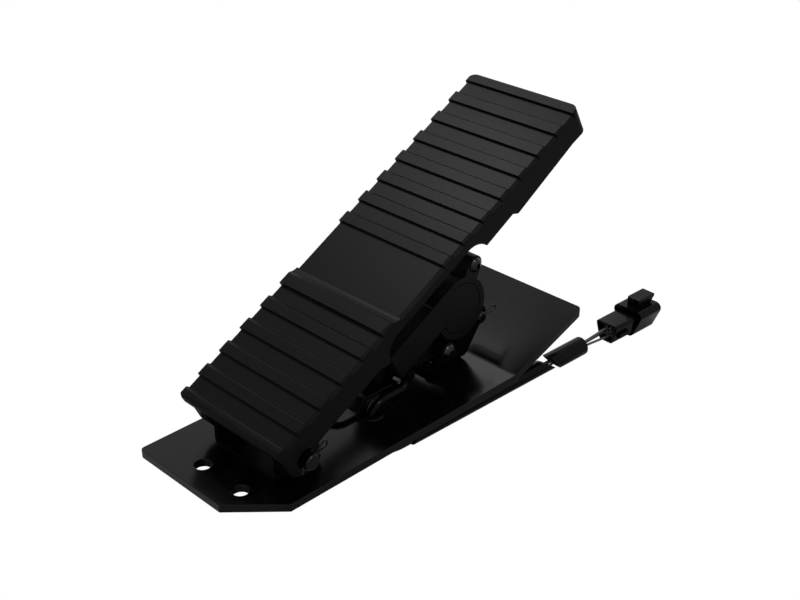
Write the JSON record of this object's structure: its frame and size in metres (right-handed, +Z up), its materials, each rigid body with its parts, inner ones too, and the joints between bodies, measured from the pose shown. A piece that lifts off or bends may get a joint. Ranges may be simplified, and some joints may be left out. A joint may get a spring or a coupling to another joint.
{
  "type": "accelerator pedal",
  "caption": "Floor-mounted electronic accelerator pedal: a ribbed treadle hinged at the heel on a bent plate, with a position sensor under it and a short lead to a plug.",
  "frame": {"origin": "midway between the two heel bolt holes, on the underside of the base plate", "axes": "+X to the right of the pedal seen from the heel, +Y from heel to toe, +Z up, square to the plate"},
  "size_m": [0.1045, 0.3371, 0.1747],
  "materials": {
    "black_steel": "glossy black coat on steel",
    "black_casting": "satin black coat on cast aluminium",
    "zinc": "bright zinc plate",
    "spring_steel": "oiled spring wire",
    "black_plastic": "fine texture",
    "pale_plastic": "plain",
    "amber_plastic": "plain",
    "black_rubber": "smooth",
    "seal_rubber": "smooth",
    "bronze": "sintered",
    "tinned_brass": "tinned",
    "board": "lacquered",
    "magnet": "plated"
  },
  "bodies": {
    "base": {"base_plate": "black_steel", "pivot_bracket": "black_steel", "bracket_screws": "zinc", "heel_pin": "zinc", "heel_washer": "zinc", "heel_cotter": "zinc", "return_spring_left": "spring_steel", "return_spring_right": "spring_steel", "rear_bracket": "black_steel", "rear_screws": "zinc", "front_strap": "black_steel", "strap_screws": "zinc", "mechanism_housing": "black_casting", "housing_pin": "zinc", "housing_washer": "zinc", "housing_cotter": "zinc", "sensor_body": "black_plastic", "sensor_cover": "black_plastic", "cover_seal": "seal_rubber", "sensor_screws": "zinc", "circuit_board": "board", "shaft_bush": "bronze", "stop_bumper": "black_rubber", "cable_gland": "black_rubber", "plate_grommet": "black_rubber", "cable": "black_rubber", "conduit": "black_plastic", "wire_sleeve": "black_plastic", "wires": "black_plastic", "connector_body": "black_plastic", "connector_latch": "black_plastic", "wedge_lock": "amber_plastic", "terminals": "tinned_brass", "wire_seals": "seal_rubber"},
    "treadle": {"treadle": "black_casting", "bush_left": "bronze", "bush_right": "bronze", "wear_pad": "zinc", "pad_screws": "zinc"},
    "lever": {"sensor_lever": "black_steel", "sensor_shaft": "zinc", "magnet": "magnet", "roller_pin": "zinc", "lever_spring": "spring_steel"},
    "roller": {"lever_roller": "pale_plastic"}
  },
  "joints": [
    {"name": "treadle_pivot", "type": "hinge", "parent": "base", "child": "treadle", "pos_m": [0, 0.0254, 0.0237], "axis": [-1, 0, 0], "range_deg": [0, 13], "stiffness_Nm_per_rad": 8, "springref_deg": -14.32, "deforming": ["return_spring_left", "return_spring_right"]},
    {"name": "lever_pivot", "type": "hinge", "parent": "base", "child": "lever", "pos_m": [0, 0.1656, 0.0476], "axis": [1, 0, 0], "range_deg": [0, 9.7], "deforming": ["lever_spring"]},
    {"name": "roller_spin", "type": "hinge", "parent": "lever", "child": "roller", "pos_m": [0, 0.0783, 0.05866], "axis": [1, 0, 0], "continuous": true}
  ],
  "couplings": [
    {"joint": "lever_pivot", "follows": "treadle_pivot", "ratio": 0.743}
  ]
}
